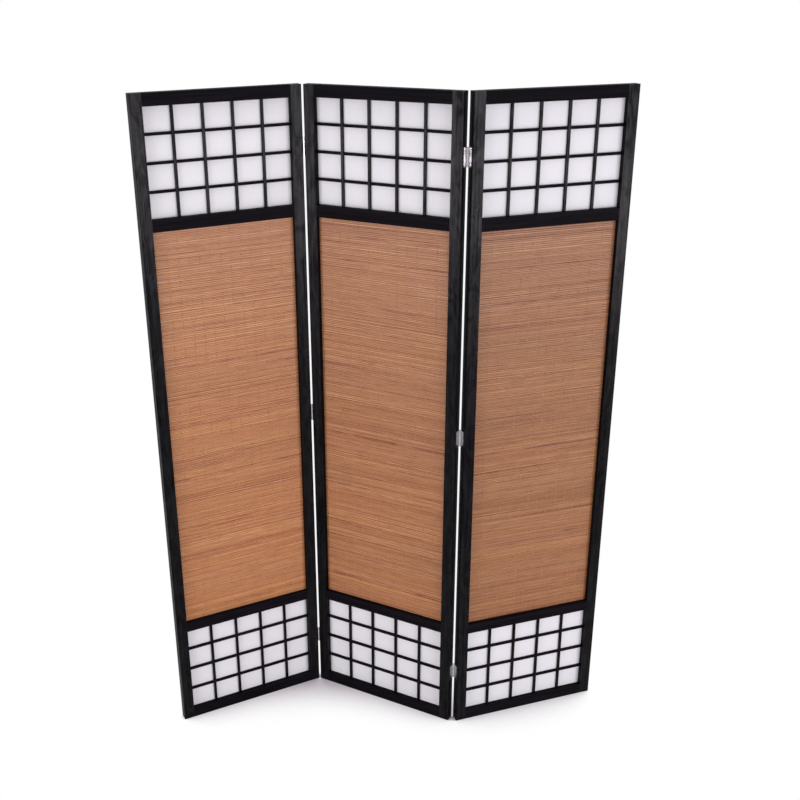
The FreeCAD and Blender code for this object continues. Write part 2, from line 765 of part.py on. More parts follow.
def screw_shape():
    """Raised countersunk wood screw along +Z, its cone's rim at Z = 0, with a cross recess."""
    head_radius = size("screw_head_radius")
    head_depth = size("screw_head_depth")
    dome = size("screw_dome_height")
    shank_radius = size("screw_shank_radius")
    length = size("screw_length")
    shank_end = length - size("screw_tip_length")
    tip_radius = size("screw_tip_radius")
    # Half section in the XZ plane, turned about Z.
    rim = VECTOR(head_radius, 0, 0)
    crest = VECTOR(0, 0, -dome)
    sphere_radius = (head_radius ** 2 + dome ** 2) / (2 * dome)
    half_angle = math.asin(head_radius / sphere_radius) / 2
    bulge = VECTOR(
        sphere_radius * math.sin(half_angle), 0, sphere_radius * (1 - math.cos(half_angle)) - dome
    )
    points = [
        rim,
        VECTOR(shank_radius, 0, head_depth),
        VECTOR(shank_radius, 0, shank_end),
        VECTOR(tip_radius, 0, length),
        VECTOR(0, 0, length),
        crest,
    ]
    edges = [Part.makeLine(start, end) for start, end in zip(points, points[1:])]
    edges.append(Part.Arc(crest, bulge, rim).toShape())
    solid = Part.Face(Part.Wire(edges)).revolve(VECTOR(0, 0, 0), VECTOR(0, 0, 1), 360)
    arm = size("screw_slot_length")
    slot_width = size("screw_slot_width")
    slot_top = -dome - PASS
    slot_height = PASS + size("screw_slot_depth")
    first = Part.makeBox(arm, slot_width, slot_height, VECTOR(-arm / 2, -slot_width / 2, slot_top))
    second = Part.makeBox(slot_width, arm, slot_height, VECTOR(-slot_width / 2, -arm / 2, slot_top))
    return solid.cut(first.fuse(second))


def make_screws(panel, screw):
    """All hinge screws of a panel, two to a leaf, as separate solids."""
    name = f"{panel}_panel_hinge_screws"
    placed = []
    for joint, edges in JOINT_EDGES.items():
        for side, (owner, edge) in edges.items():
            if owner != panel:
                continue
            pin = pin_in_panel(joint, edge)
            into_x, into_y = edge_signs(joint, side)[2:]
            face = pin.x + into_x * (size("knuckle_radius") - size("leaf_thickness"))
            depth = pin.y + into_y * size("screw_inset")
            for level in HINGE_LEVELS:
                for sign in (-1, 1):
                    height = size(f"{level}_hinge_centre") + sign * size("screw_spacing") / 2
                    turn = FreeCAD.Rotation(VECTOR(0, 0, 1), VECTOR(into_x, 0, 0))
                    copy = screw.copy()
                    copy.Placement = FreeCAD.Placement(VECTOR(face, depth, height), turn)
                    placed.append(copy)
    group = doc.addObject("Part::Feature", name)
    group.Shape = Part.makeCompound(placed)
    finish(group, name, panel)


# ---------------------------------------------------------------- whole screen

def make_screen():
    for panel in PANELS:
        for side in SIDES:
            make_stile(panel, side)
        for rail in RAILS:
            make_rail(panel, rail)
        make_dowels(panel)
        for lattice in LATTICES:
            make_uprights(panel, lattice)
            make_crossbars(panel, lattice)
            make_paper(panel, lattice)
        make_mat(panel)
    for joint in JOINT_EDGES:
        for level in HINGE_LEVELS:
            for side in SIDES:
                make_leaf(joint, level, side)
        make_pins(joint)
    screw = screw_shape()
    for panel in PANELS:
        make_screws(panel, screw)


def check_document():
    doc.recompute()
    for obj in doc.Objects:
        if "Invalid" in obj.State or "Error" in obj.State:
            raise RuntimeError(f"{obj.Label} did not compute: {obj.State}")
    for obj in subparts:
        if obj.Shape.isNull() or not obj.Shape.isValid() or not obj.Shape.Solids:
            raise RuntimeError(f"{obj.Label} has no valid solid")


def export_subparts():
    os.makedirs(OUTPUT_FOLDER, exist_ok=True)
    for obj in subparts:
        obj.Shape.exportStep(os.path.join(OUTPUT_FOLDER, f"{obj.Label}.step"))


def print_summary():
    for joint in JOINT_EDGES:
        pin = PANEL_PLACEMENT[PIN_PANEL].multVec(pin_in_panel(joint, edge_of(joint, PIN_PANEL)))
        print(f"{joint} joint's pin axis at x = {pin.x:.3f}, y = {pin.y:.3f}")
    for obj in subparts:
        print(f"{obj.Label}: {len(obj.Shape.Solids)} solids, {obj.Shape.Volume:.0f} cubic mm")


make_screen()
check_document()
export_subparts()
print_summary()
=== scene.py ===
"""Dresses the solids of a folding screen: stained timber, paper, bamboo mats and steel hinges.

Metres, +Z up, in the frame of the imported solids. Each panel also has a turned frame of its own:
X along its width, Y from its front face to its back, Z up, about the screen's own origin.
"""

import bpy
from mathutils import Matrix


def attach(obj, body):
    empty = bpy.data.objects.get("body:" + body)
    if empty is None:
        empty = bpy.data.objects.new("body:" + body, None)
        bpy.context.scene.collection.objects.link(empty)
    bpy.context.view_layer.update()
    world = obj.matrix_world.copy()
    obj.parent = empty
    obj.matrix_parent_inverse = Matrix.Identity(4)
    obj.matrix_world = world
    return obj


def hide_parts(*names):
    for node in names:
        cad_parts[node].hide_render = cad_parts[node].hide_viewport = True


bl_info = {
    "name": "Folding Screen Finisher",
    "version": (1, 0, 0),
    "blender": (4, 5, 0),
    "location": "View3D > Sidebar > Folding Screen",
    "description": "Finishes a folding screen's timber, paper, mats and hinges, and lights it",
    "category": "Object",
}

import math
import random

import bpy
from mathutils import Matrix, Vector

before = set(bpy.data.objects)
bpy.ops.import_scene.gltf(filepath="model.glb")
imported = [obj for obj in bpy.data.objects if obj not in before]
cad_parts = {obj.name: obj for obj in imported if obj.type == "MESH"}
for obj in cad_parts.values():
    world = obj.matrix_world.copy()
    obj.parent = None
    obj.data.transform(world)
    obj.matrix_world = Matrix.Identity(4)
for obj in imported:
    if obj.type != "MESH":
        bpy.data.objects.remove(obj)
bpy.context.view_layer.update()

MM = 0.001
WHITE = (1.0, 1.0, 1.0, 1.0)

# Each panel's turn about Z at rest, the seed of its mat, and the shade of its bamboo.
PANEL_TURN = {"left": math.radians(27), "centre": math.radians(-29), "right": math.radians(18.5)}
PANEL_SEED = {"left": 3, "centre": 11, "right": 29}
MAT_TONE = {"left": 0.9, "centre": 0.79, "right": 0.65}
STILES = ("left_stile", "right_stile")
RAILS = ("top_rail", "upper_rail", "lower_rail", "bottom_rail")
LATTICES = ("upper", "lower")
STILE_WIDTH = 30 * MM

# Cells of the pattern that may each hold a knot, and the swirls of worn stain, both with
# their length along the grain last.
KNOT_CELL = (60 * MM, 60 * MM, 300 * MM)
SWIRL_WIDTH, SWIRL_LENGTH = 35 * MM, 100 * MM
# A fibre of the paper is this many times as long as it is thick.
FIBRE_SLENDERNESS = 12

# The mats' UV map has this length to a unit of U. In V, a splint keeps off its own limits.
U_LENGTH = 100 * MM
V_MARGIN = 0.02
# Eased shoulders of a splint, as a share of its height and depth, and cuts along its length.
SHOULDER = 0.2
SPLINT_CUTS = 5
SMOOTH_ANGLE = math.radians(40)
# How much of a splint's slope the next one keeps, and how many rows at the top and bottom of
# a mat grow level.
SLOPE_KEPT = 0.97
LEVELLING_ROWS = 20
# How the rows wander: the axis, its share of the wave, and the texture's size in UV units.
WANDERINGS = (("Z", 1.0, 2.2), ("Y", 0.5, 1.6))

# Each soft box: where it hangs, the point that it is turned to, and its width and height.
SOFT_BOXES = {
    "left": ((-2.45, -1.95, 1.05), (0, 0, 1.0), (1.8, 0.95)),
    "right": ((3.2, -3.1, 0.95), (0, 0, 1.0), (2.6, 1.45)),
    "top": ((0, 0.5, 3.2), (0, 0.2, 0), (3, 2)),
}
FLOOR_SIZE = 16
FLOOR_DROP = 0.5 * MM

# The camera of the photograph. Its focal length and the centre of its picture are in pixels
# of a picture this wide and high, and its turns are in degrees.
PICTURE_SIZE = 800
FOCAL_LENGTH = 1071.584
PICTURE_CENTRE = (365.231, 423.91)
CAMERA_SPOT = (-0.05404, -2.70141, 2.04809)
CAMERA_TURN, CAMERA_TILT, CAMERA_ROLL = 0.156, -22.904, -0.554
SENSOR_WIDTH = 36
NEAREST, FARTHEST = 0.05, 200


def linear(red, green, blue):
    """Colour written as on screen, 0 to 255, in the linear values that materials use."""

    def decode(value):
        share = value / 255
        if share <= 0.04045:
            return share / 12.92
        return ((share + 0.055) / 1.055) ** 2.4

    return (decode(red), decode(green), decode(blue), 1.0)


# ---------------------------------------------------------------- settings

def colour_setting(name, description, red, green, blue):
    return bpy.props.FloatVectorProperty(
        name=name,
        description=description,
        subtype="COLOR",
        size=4,
        min=0,
        max=1,
        default=linear(red, green, blue),
    )


def length_setting(name, description, millimetres):
    return bpy.props.FloatProperty(
        name=name,
        description=description,
        default=millimetres * MM,
        min=0,
        subtype="DISTANCE",
        unit="LENGTH",
    )


def number_setting(name, description, value, low=0.0, high=10.0):
    return bpy.props.FloatProperty(
        name=name, description=description, default=value, min=low, max=high
    )


class TimberSettings(bpy.types.PropertyGroup):
    stain: colour_setting("Stain", "Black stain in the pores of the wood", 4, 3, 5)
    worn_stain: colour_setting("Worn stain", "Stain on the raised grain", 11, 8, 12)
    # Level stain is partly painted sheen: paler than the stain of upright pieces, in place of the
    # floor's reflection on level grain.
    level_stain_and_sheen: colour_setting("Level stain", "Stain on raised grain of level pieces", 24, 21, 26)
    knot: colour_setting("Knot", "Stain over a knot", 62, 57, 62)
    upright_sheen: number_setting("Upright sheen", "Clear coat on wood with upright grain", 0.195)
    bar_sheen: number_setting("Bar sheen", "Clear coat on the upright lattice bars", 0.15)
    level_sheen: number_setting("Level sheen", "Clear coat on wood with level grain", 0.004)
    grain_width: length_setting("Grain width", "Width of a line of grain", 3.0)
    grain_length: length_setting("Grain length", "Length of a line of grain", 150)


class PaperSettings(bpy.types.PropertyGroup):
    white: colour_setting("White", "Laminated paper", 232, 232, 233)
    fibre: colour_setting("Fibre", "Long fibres in the paper", 227, 227, 229)
    fibre_length: length_setting("Fibre length", "Length of a fibre", 14)


class MatSettings(bpy.types.PropertyGroup):
    splint_height: length_setting("Splint height", "Mean height of a splint", 4.4)
    height_spread: number_setting("Height spread", "How much the heights differ, as a share", 0.42)
    slant: bpy.props.FloatProperty(
        name="Slant",
        description="Change of slope from one splint to the next",
        default=math.radians(0.07),
        subtype="ANGLE",
        unit="ROTATION",
    )
    gap: length_setting("Gap", "Widest gap between two splints", 0.1)
    depth: length_setting("Depth", "Thickness of a splint", 2.1)
    depth_spread: length_setting("Depth spread", "How far a splint stands in or out", 0.15)
    wave: length_setting("Wave", "How far a splint wanders along its length", 0.5)
    stitch_spacing: length_setting("Stitch spacing", "Distance between two rows of stitches", 28)
    first_stitch: length_setting("First stitch", "Stile's inner edge to the first row", 6.5)
    thread_radius: length_setting("Thread radius", "Radius of the sewing thread", 0.45)
    tan: colour_setting("Tan", "Most splints", 195, 130, 78)
    amber: colour_setting("Amber", "Yellower splints", 196, 132, 74)
    umber: colour_setting("Umber", "Browner splints", 168, 106, 66)
    # Painted sheen: the higher a splint lies, the more its colour is mixed towards this paler one.
    painted_top_sheen: colour_setting("Faded", "Splints paled by light, most towards the top", 188, 146, 120)
    # Painted highlight: a bright line along the middle of some splints.
    painted_highlight: colour_setting("Pale", "Bright line along a splint", 230, 182, 140)
    # Also used for painted shade along the top of many splints, where one meets the next.
    streak: colour_setting("Streak", "Dark skin left on a splint", 112, 46, 14)
    thread: colour_setting("Thread", "Sewing thread", 208, 150, 106)


class HingeSettings(bpy.types.PropertyGroup):
    leaf: colour_setting("Leaf", "Plated steel of the leaves", 212, 210, 212)
    screw: colour_setting("Screw", "Plated steel of the screws and pins", 222, 221, 224)
    tarnish: colour_setting("Tarnish", "Dull patches on the plating", 160, 155, 156)
    leaf_roughness: number_setting("Leaf roughness", "Roughness of the leaves", 0.14)
    screw_roughness: number_setting("Screw roughness", "Roughness of the screws and pins", 0.2)


class StageSettings(bpy.types.PropertyGroup):
    floor: colour_setting("Floor", "Floor's own colour", 209, 200, 210)
    shadow_reach: length_setting("Shadow reach", "How far the screen shades the floor", 300)
    ambient: number_setting("Ambient", "Strength of the plain light from all round", 0.56)
    box_radiance: number_setting("Box radiance", "Brightness of the two soft boxes", 7.1)
    top_radiance: number_setting("Top radiance", "Brightness of the soft box overhead", 3.0)
    lamp_tint: colour_setting("Lamp tint", "Tint of the two soft boxes", 252, 247, 255)


SETTINGS = {
    "screen_timber": TimberSettings,
    "screen_paper": PaperSettings,
    "screen_mat": MatSettings,
    "screen_hinge": HingeSettings,
    "screen_stage": StageSettings,
}


# ---------------------------------------------------------------- shader maths

class Socket:
    """A node's output that does arithmetic: each operation adds its Math node."""

    def __init__(self, finish, socket):
        self.finish = finish
        self.socket = socket

    def math(self, operation, first, second=0.0):
        return self.finish.node("ShaderNodeMath", {"operation": operation}, {0: first, 1: second})

    def __add__(self, other):
        return self.math("ADD", self, other)

    def __radd__(self, other):
        return self.math("ADD", other, self)

    def __sub__(self, other):
        return self.math("SUBTRACT", self, other)

    def __rsub__(self, other):
        return self.math("SUBTRACT", other, self)

    def __mul__(self, other):
        return self.math("MULTIPLY", self, other)

    def __rmul__(self, other):
        return self.math("MULTIPLY", other, self)

    def __truediv__(self, other):
        return self.math("DIVIDE", self, other)

    def __rtruediv__(self, other):
        return self.math("DIVIDE", other, self)

    def floor(self):
        return self.math("FLOOR", self)

    def absolute(self):
        return self.math("ABSOLUTE", self)

    def or_more(self, other):
        """The larger of two values."""
        return self.math("MAXIMUM", self, other)

    def over(self, limit, softness):
        """0 below a limit and 1 above it, with a soft step between them."""
        return self.finish.node(
            "ShaderNodeMapRange",
            {"interpolation_type": "SMOOTHSTEP"},
            {"Value": self, "From Min": limit - softness, "From Max": limit + softness},
        )


class Finish:
    """The nodes of a material, or of the world, under construction."""

    def __init__(self, owner):
        self.owner = owner
        owner.use_nodes = True
        self.tree = owner.node_tree
        self.tree.nodes.clear()

    def node(self, kind, settings=None, inputs=None, output=0):
        """Adds a node: its settings first, then the values or links of its sockets."""
        node = self.tree.nodes.new(kind)
        for key, value in (settings or {}).items():
            setattr(node, key, value)
        for key, value in (inputs or {}).items():
            if isinstance(value, Socket):
                self.tree.links.new(value.socket, node.inputs[key])
            else:
                node.inputs[key].default_value = value
        return Socket(self, node.outputs[output]) if len(node.outputs) else None

    def mix(self, share, first, second, blend="MIX"):
        """Colour between two others."""
        return self.node(
            "ShaderNodeMix",
            {"data_type": "RGBA", "blend_type": blend, "clamp_factor": True},
            {0: share, 6: first, 7: second},
            output=2,
        )

    def place(self, turn):
        """Position on the object, turned so that X runs along a panel's width."""
        here = self.node("ShaderNodeTexCoord", output="Object")
        return self.node("ShaderNodeMapping", None, {"Vector": here, "Rotation": (0, 0, -turn)})

    def stretched(self, place, lengths, offset=(0, 0, 0)):
        """Pattern coordinates whose units are these lengths along X, Y and Z."""
        scale = tuple(1 / length for length in lengths)
        return self.node(
            "ShaderNodeMapping", None, {"Vector": place, "Scale": scale, "Location": offset}
        )

    def noise(self, place, scale=1.0, detail=2.0, roughness=0.5, distortion=0.0):
        return self.node(
            "ShaderNodeTexNoise",
            None,
            {
                "Vector": place,
                "Scale": scale,
                "Detail": detail,
                "Roughness": roughness,
                "Distortion": distortion,
            },
        )

    def parts(self, vector):
        """X, Y and Z of a vector."""
        split = self.node("ShaderNodeSeparateXYZ", None, {"Vector": vector}).socket.node
        return [Socket(self, socket) for socket in split.outputs]

    def joined(self, across, up, deep=0.0):
        """A vector of three values."""
        return self.node("ShaderNodeCombineXYZ", None, {"X": across, "Y": up, "Z": deep})

    def bump(self, height, distance, strength):
        return self.node(
            "ShaderNodeBump", None, {"Height": height, "Distance": distance, "Strength": strength}
        )

    def seen_plainly(self):
        """1 to the camera and in glossy reflections, and 0 to all other light."""
        camera = self.node("ShaderNodeLightPath", output="Is Camera Ray")
        glossy = self.node("ShaderNodeLightPath", output="Is Glossy Ray")
        return camera.or_more(glossy)

    def surface(self, inputs):
        """Ends the material in a Principled shader."""
        shader = self.node("ShaderNodeBsdfPrincipled", None, inputs)
        self.node("ShaderNodeOutputMaterial", None, {"Surface": shader})
        return self.owner


def new_finish(name):
    """Nodes of a new material."""
    return Finish(bpy.data.materials.new(name))


# ---------------------------------------------------------------- finishes

def timber_finish(name, settings, turn, sheen, upright):
    """Black-stained wood: pores along the grain, a worn sheen, and a few knots if it is upright."""
    finish = new_finish(name)
    place = finish.place(turn)

    def grain_noise(width, length, offset, **inputs):
        """Noise of this width, drawn out to this length along the grain."""
        lengths = (width, width, length) if upright else (length, width, width)
        return finish.noise(finish.stretched(place, lengths, offset), **inputs)

    width, length = settings.grain_width, settings.grain_length
    lines = grain_noise(width, length, (0, 0, 0), detail=3, roughness=0.6, distortion=0.5)
    broad = grain_noise(4 * width, 4 * length, (5, 3, 1), detail=3, distortion=1.5)
    pores = grain_noise(width / 5, length / 5, (0, 0, 0), detail=2)
    cloud = grain_noise(
        SWIRL_WIDTH, SWIRL_LENGTH, (2, 7, 4), detail=4, roughness=0.6, distortion=2.0
    )
    grain = lines * 0.5 + broad * 0.35 + pores * 0.15
    raised = grain.over(0.5, 0.11)
    # Level pieces get paler colours than upright ones: their own stain plus painted sheen, in place
    # of the floor's reflection that their thin coat does not give.
    low = settings.stain if upright else settings.worn_stain
    high = settings.worn_stain if upright else settings.level_stain_and_sheen
    colour = finish.mix(raised, tuple(low), tuple(high))
    coat = (0.15 + raised * 0.65 + cloud.over(0.5, 0.12) * 0.55) * sheen
    if upright:
        cells = finish.stretched(place, KNOT_CELL, (0.3, 0.3, 0.45))
        spots = finish.node(
            "ShaderNodeTexVoronoi", {"feature": "F1"}, {"Vector": cells, "Scale": 1.0}
        )
        knot = 1 - spots.over(0.07, 0.05)
        colour = finish.mix(knot * lines, colour, tuple(settings.knot))
    return finish.surface(
        {
            "Base Color": colour,
            "Roughness": 0.5 + raised * 0.15,
            "Specular IOR Level": 0.02,
            "Coat Weight": coat,
            "Coat Roughness": 0.27,
            "Normal": finish.bump(grain, 0.35 * MM, 0.5),
        }
    )


def paper_finish(name, settings, turn):
    """White laminated paper with long faint fibres."""
    finish = new_finish(name)
    place = finish.place(turn)
    long = settings.fibre_length
    short = long / FIBRE_SLENDERNESS
    level = finish.noise(finish.stretched(place, (long, short, short)), detail=2, distortion=1.2)
    leaning = finish.noise(
        finish.stretched(place, (short, short, long), (7, 2, 4)), detail=2, distortion=1.2
    )
    fibres = level.over(0.62, 0.05) * 0.5 + leaning.over(0.62, 0.05) * 0.5
    cloud = finish.noise(place, scale=22, detail=3)
    colour = finish.mix(fibres, tuple(settings.white), tuple(settings.fibre))
    return finish.surface(
        {
            "Base Color": colour,
            "Roughness": 0.62 + fibres * 0.1,
            "Specular IOR Level": 0.2,
            "Normal": finish.bump(cloud * 0.8 + fibres * 0.2, 0.3 * MM, 0.12),
        }
    )


def bamboo_finish(name, settings, seed, tone, count):
    """Split bamboo of so many splints, which the UV map counts upwards in V."""
    finish = new_finish(name)
    across, up, _ = finish.parts(finish.node("ShaderNodeUVMap", {"uv_map": "UVMap"}))
    row = up.floor()

    def chance(number):
        """A number from 0 to 1, the same all along a splint."""
        place = finish.joined(row, seed + number)
        return finish.node("ShaderNodeTexWhiteNoise", {"noise_dimensions": "2D"}, {"Vector": place})

    one, other, third = chance(0), chance(7), chance(13)
    # Slow changes along a splint, different in every row.
    along = finish.noise(finish.joined(across * 1.6, row * 3.7, seed), detail=3)
    length = finish.noise(finish.joined(across * 0.9, row * 5.3, seed + 3), detail=3)
    fine = finish.noise(finish.joined(across * 2.0, up * 2.6, seed + 2), detail=4, roughness=0.6)
    fibre = finish.noise(finish.joined(across * 5, up * 7, seed + 4), detail=3, roughness=0.7)
    bundle = finish.noise(finish.joined(across * 0.3, row * 0.11, seed + 5), detail=3)
    amber = (one * 0.45 + along * 0.4 + bundle * 0.6 - 0.2).over(0.55, 0.2)
    umber = (other * 0.5 + along * 0.35 + (1 - bundle) * 0.6 - 0.22).over(0.6, 0.14)
    colour = finish.mix(amber, tuple(settings.tan), tuple(settings.amber))
    colour = finish.mix(umber * 0.6, colour, tuple(settings.umber))
    # Painted sheen: the splints grow paler towards the top of the mat.
    painted_top_sheen = (up / count) * (0.15 + along * 0.4)
    colour = finish.mix(painted_top_sheen, colour, tuple(settings.painted_top_sheen))
    # Dark skin shows in short streaks; a dark line along the top of many splints is painted shade
    # where one splint meets the next.
    height = up - row
    streak = fine.over(0.58, 0.1) * 0.38
    skin_and_gap_shade = third.over(0.45, 0.05) * length.over(0.43, 0.15) * height.over(0.7, 0.12)
    # Painted highlight: a bright line along the middle of some splints.
    middle = 1 - (height - 0.45).absolute().over(0.16, 0.1)
    painted_highlight = one.over(0.6, 0.1) * along.over(0.46, 0.12) * middle
    colour = finish.mix(painted_highlight * 0.35, colour, tuple(settings.painted_highlight))
    # A few splints are dark for most of their length.
    whole = other.over(0.965, 0.005) * length.over(0.55, 0.08) * 0.45
    colour = finish.mix(streak + whole, colour, tuple(settings.streak))
    colour = finish.mix(skin_and_gap_shade * (0.15 + other * 0.8), colour, tuple(settings.streak))
    # Each splint has a tone of its own, and is darkened with painted shade where it meets the next.
    edge = (height - 0.5).absolute().over(0.4, 0.1)
    shade = 0.62 + fibre * 0.26 + one * 0.12 + other * 0.16 + along * 0.3
    band = finish.noise(finish.joined(across * 0.12, up * 0.04, seed + 6), detail=2)
    shade = shade * (1 - edge * (0.08 + one * one * 0.5)) * (0.86 + band * 0.28) * tone
    colour = finish.mix(1.0, colour, finish.joined(shade, shade, shade), "MULTIPLY")
    return finish.surface(
        {
            "Base Color": colour,
            "Roughness": 0.3 + fibre * 0.14 + other * 0.12,
            "Specular IOR Level": 0.38,
            "Normal": finish.bump(fibre * 0.6 + fine * 0.4, 0.2 * MM, 0.5),
        }
    )


def thread_finish(name, settings):
    """Twisted cotton thread."""
    finish = new_finish(name)
    here = finish.node("ShaderNodeTexCoord", output="Object")
    twist = finish.noise(here, scale=900, detail=2)
    cloud = finish.noise(here, scale=45, detail=3)
    dark = tuple(0.55 * value for value in settings.thread[:3]) + (1.0,)
    colour = finish.mix(twist * 0.3 + cloud.over(0.48, 0.12) * 0.7, dark, tuple(settings.thread))
    return finish.surface(
        {
            "Base Color": colour,
            "Roughness": 0.55,
            "Specular IOR Level": 0.4,
            "Normal": finish.bump(twist, 0.1 * MM, 0.5),
        }
    )


def steel_finish(name, plating, tarnish, roughness):
    """Plated steel with brushing lines and dull patches."""
    finish = new_finish(name)
    here = finish.node("ShaderNodeTexCoord", output="Object")
    brushed = finish.noise(finish.stretched(here, (1.5 * MM, 1.5 * MM, 30 * MM)), detail=2)
    patches = finish.noise(here, scale=60, detail=2)
    dull = patches.over(0.62, 0.15)
    colour = finish.mix(dull * 0.35 + brushed * 0.12, tuple(plating), tuple(tarnish))
    return finish.surface(
        {
            "Base Color": colour,
            "Metallic": 1.0,
            "Roughness": roughness + dull * 0.1 + brushed * 0.06,
            "Normal": finish.bump(brushed, 0.005 * MM, 0.2),
        }
    )


# ---------------------------------------------------------------- modelling helpers

def dress(node, material):
    """Gives a solid of the screen its finish."""
    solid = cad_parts[node]
    solid.data.materials.clear()
    solid.data.materials.append(material)


def panel_box(node, panel):
    """Lowest and highest corner of a solid in its panel's turned frame."""
    unturned = Matrix.Rotation(-PANEL_TURN[panel], 4, "Z")
    points = [unturned @ vertex.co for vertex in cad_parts[node].data.vertices]
    low = Vector([min(point[axis] for point in points) for axis in range(3)])
    high = Vector([max(point[axis] for point in points) for axis in range(3)])
    return low, high


def nothing_selected():
    bpy.ops.object.select_all(action="DESELECT")


def only_selected(obj):
    nothing_selected()
    obj.select_set(True)
    bpy.context.view_layer.objects.active = obj


def apply_place():
    """Puts the place, turn and scale of the selected object into its mesh."""
    bpy.ops.object.transform_apply(location=True, rotation=True, scale=True)


def pick_edges(mesh_object, chosen):
    """In edit mode, selects only the edges whose two ends a test chooses."""
    bpy.ops.mesh.select_mode(type="EDGE")
    bpy.ops.mesh.select_all(action="DESELECT")
    bpy.ops.object.mode_set(mode="OBJECT")
    mesh = mesh_object.data
    for edge in mesh.edges:
        edge.select = chosen(*(mesh.vertices[index].co for index in edge.vertices))
    bpy.ops.object.mode_set(mode="EDIT")


def copies_joined(original, places, name):
    """Copies a mesh object to each place, joins the copies and removes the original."""
    nothing_selected()
    copies = []
    for place in places:
        copy = original.copy()
        copy.data = original.data.copy()
        copy.matrix_world = place
        bpy.context.collection.objects.link(copy)
        copy.select_set(True)
        copies.append(copy)
    bpy.context.view_layer.objects.active = copies[0]
    bpy.ops.object.join()
    bpy.data.objects.remove(original)
    joined = copies[0]
    joined.name = name
    joined.data.name = name
    apply_place()
    return joined


def apply_modifier(obj, kind, **settings):
    """Adds a modifier with these settings and applies it."""
    only_selected(obj)
    modifier = obj.modifiers.new(kind.title(), kind)
    for key, value in settings.items():
        setattr(modifier, key, value)
    bpy.ops.object.modifier_apply(modifier=modifier.name)


def stand_in_panel(obj, panel, material):
    """Turns a piece made in a panel's frame into its place, and lets it ride on the panel."""
    only_selected(obj)
    obj.matrix_world = Matrix.Rotation(PANEL_TURN[panel], 4, "Z")
    apply_place()
    obj.data.materials.clear()
    obj.data.materials.append(material)
    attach(obj, f"{panel}_panel")
    obj.select_set(False)


# ---------------------------------------------------------------- bamboo mats

def splint_rows(settings, bottom, top, rng):
    """Base, height and slope of each splint from the bottom of a mat to its top."""
    count = round((top - bottom) / settings.splint_height)
    shares = [1 + settings.height_spread * rng.uniform(-1, 1) for _ in range(count)]
    whole = sum(shares)
    rows = []
    base = bottom
    slope = 0.0
    for index, share in enumerate(shares):
        height = (top - bottom) * share / whole
        slope = SLOPE_KEPT * slope + settings.slant * rng.gauss(0, 1)
        # The first and last splints lie level in the grooves of the rails.
        freedom = min(1, index / LEVELLING_ROWS, (count - 1 - index) / LEVELLING_ROWS)
        rows.append((base, height, slope * freedom))
        base += height
    return rows


def model_splint(length):
    """One splint of unit height and depth: flat split sides with eased shoulders."""

    def runs_along(start, end):
        return abs(start.x - end.x) > length / 2

    nothing_selected()
    bpy.ops.mesh.primitive_cube_add(size=1, scale=(length, 1, 1))
    splint = bpy.context.object
    apply_place()
    bpy.ops.object.mode_set(mode="EDIT")
    pick_edges(splint, runs_along)
    bpy.ops.mesh.bevel(offset=SHOULDER, offset_type="OFFSET", segments=1, profile=0.5)
    pick_edges(splint, runs_along)
    bpy.ops.mesh.subdivide(number_cuts=SPLINT_CUTS)
    bpy.ops.object.mode_set(mode="OBJECT")
    bpy.ops.object.shade_smooth_by_angle(angle=SMOOTH_ANGLE)
    return splint


def count_rows_in_uv(mesh, rows_of_vertices, left, middle, rows):
    """Writes the UV map: distance from the left in U, and splints counted upwards in V."""
    layer = mesh.uv_layers.get("UVMap") or mesh.uv_layers.new(name="UVMap")
    for loop in mesh.loops:
        spot = mesh.vertices[loop.vertex_index].co
        index = rows_of_vertices[loop.vertex_index]
        base, height, slope = rows[index]
        rise = (spot.z - base + slope * (spot.x - middle)) / height
        rise = min(max(rise, V_MARGIN), 1 - V_MARGIN)
        layer.data[loop.index].uv = ((spot.x - left) / U_LENGTH, index + rise)


def wander(obj, settings, seed):
    """Lets the rows wander up, down, in and out along their length."""
    for axis, share, grain in WANDERINGS:
        texture = bpy.data.textures.new(f"wander_{axis}_{seed}", "CLOUDS")
        texture.noise_scale = grain
        texture.noise_depth = 1
        apply_modifier(
            obj,
            "DISPLACE",
            texture=texture,
            texture_coords="UV",
            uv_layer="UVMap",
            direction=axis,
            strength=settings.wave * share,
            mid_level=0.5,
        )
        bpy.data.textures.remove(texture)


def make_splints(panel, settings, low, high, rows, rng):
    """Lays a splint in every row between the mat's lowest and highest corners."""
    splint = model_splint(high.x - low.x)
    vertices = len(splint.data.vertices)
    middle_x = (low.x + high.x) / 2
    middle_y = (low.y + high.y) / 2
    places = []
    for base, height, slope in rows:
        depth_shift = settings.depth_spread * rng.uniform(-1, 1)
        centre = Vector((middle_x, middle_y + depth_shift, base + height / 2))
        gap = settings.gap * rng.uniform(0.2, 1)
        size = Matrix.Diagonal((1, settings.depth, height - gap, 1))
        places.append(Matrix.Translation(centre) @ Matrix.Rotation(slope, 4, "Y") @ size)
    mat = copies_joined(splint, places, f"{panel}_panel_mat_splints")
    rows_of_vertices = [index // vertices for index in range(len(mat.data.vertices))]
    count_rows_in_uv(mat.data, rows_of_vertices, low.x, middle_x, rows)
    wander(mat, settings, PANEL_SEED[panel])
    return mat


